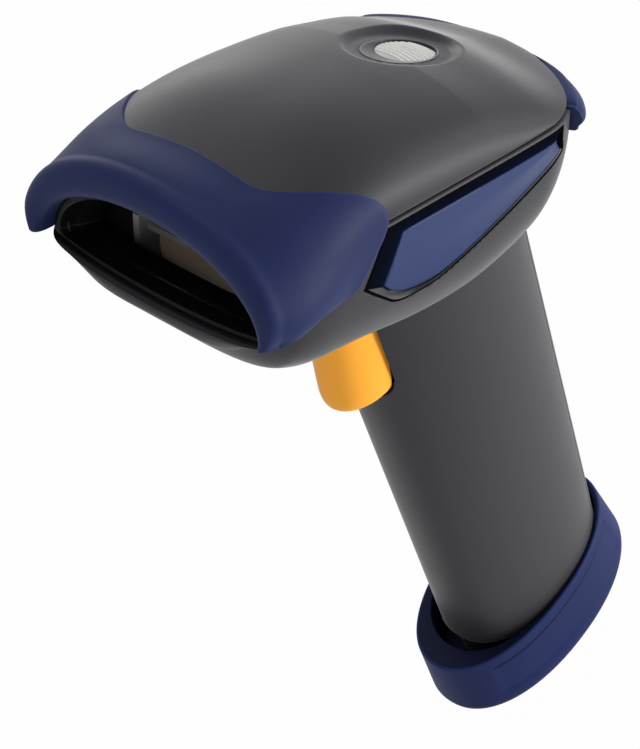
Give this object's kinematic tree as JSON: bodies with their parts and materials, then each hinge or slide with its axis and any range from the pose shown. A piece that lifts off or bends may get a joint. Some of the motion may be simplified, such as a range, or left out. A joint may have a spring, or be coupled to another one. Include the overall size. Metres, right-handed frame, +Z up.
{
  "type": "handheld barcode scanner",
  "caption": "Pistol-grip laser barcode scanner with a domed head, soft nose and tail bumpers, a sprung trigger, a swinging scan mirror and a rubber base boot.",
  "frame": {"origin": "on the flat underside of the sole, where the grip axis meets it", "axes": "+Z up from the sole, -Y the way the window faces, +X to the right as seen from behind the window's front"},
  "size_m": [0.0638, 0.0944, 0.202],
  "materials": {
    "shell": "fine moulded texture, satin",
    "soft_blue": "soft-touch, satin",
    "boot_blue": "soft-touch, matt",
    "panel_blue": "satin",
    "black": "gloss",
    "window": "tinted clear",
    "lens": "frosted",
    "orange": "satin",
    "steel": "satin",
    "brass": "satin",
    "mirror": "polished",
    "chassis": "satin",
    "board": "satin",
    "copper": "lacquered",
    "ribbon": "satin"
  },
  "bodies": {
    "housing": {"upper_shell": "shell", "lower_housing": "shell", "grip_back_cover": "shell", "nose_bumper": "soft_blue", "rear_bumper": "soft_blue", "side_panel_right": "panel_blue", "side_panel_left": "panel_blue", "panel_frame_right": "black", "panel_frame_left": "black", "base_boot": "boot_blue", "sole_plate": "black", "mouth_liner": "black", "scan_window": "window", "indicator_bezel": "shell", "indicator_lens": "lens", "indicator_board": "board", "beeper": "black", "engine_chassis": "chassis", "laser_module": "brass", "collecting_mirror": "mirror", "photo_detector": "black", "engine_board": "board", "drive_coil": "copper", "mirror_spindle": "steel", "engine_screws": "steel", "main_board": "board", "board_screws": "steel", "cable_socket": "black", "ribbon_cable": "ribbon", "switch_body": "black", "trigger_pin": "steel", "trigger_spring": "steel", "housing_screws": "steel", "sole_screws": "steel"},
    "trigger": {"trigger": "orange"},
    "plunger": {"switch_plunger": "lens"},
    "mirror": {"scan_mirror": "mirror", "mirror_magnet": "steel"}
  },
  "joints": [
    {"name": "trigger_pull", "type": "hinge", "parent": "housing", "child": "trigger", "pos_m": [0, -0.00107, 0.14511], "axis": [1, 0, 0], "range_deg": [0, 4.5], "stiffness_Nm_per_rad": 0.6, "springref_deg": -3.44, "deforming": ["trigger_spring"]},
    {"name": "switch_press", "type": "slide", "parent": "housing", "child": "plunger", "axis": [0, 0.9919, -0.1271], "range_m": [0, 0.00185]},
    {"name": "mirror_swing", "type": "hinge", "parent": "housing", "child": "mirror", "pos_m": [-0.006, 0.00047, 0.17408], "axis": [0, 0.4679, 0.8838], "range_deg": [-12, 12], "stiffness_Nm_per_rad": 0.004}
  ],
  "couplings": [
    {"joint": "switch_press", "follows": "trigger_pull", "m_per_rad": 0.0235}
  ]
}
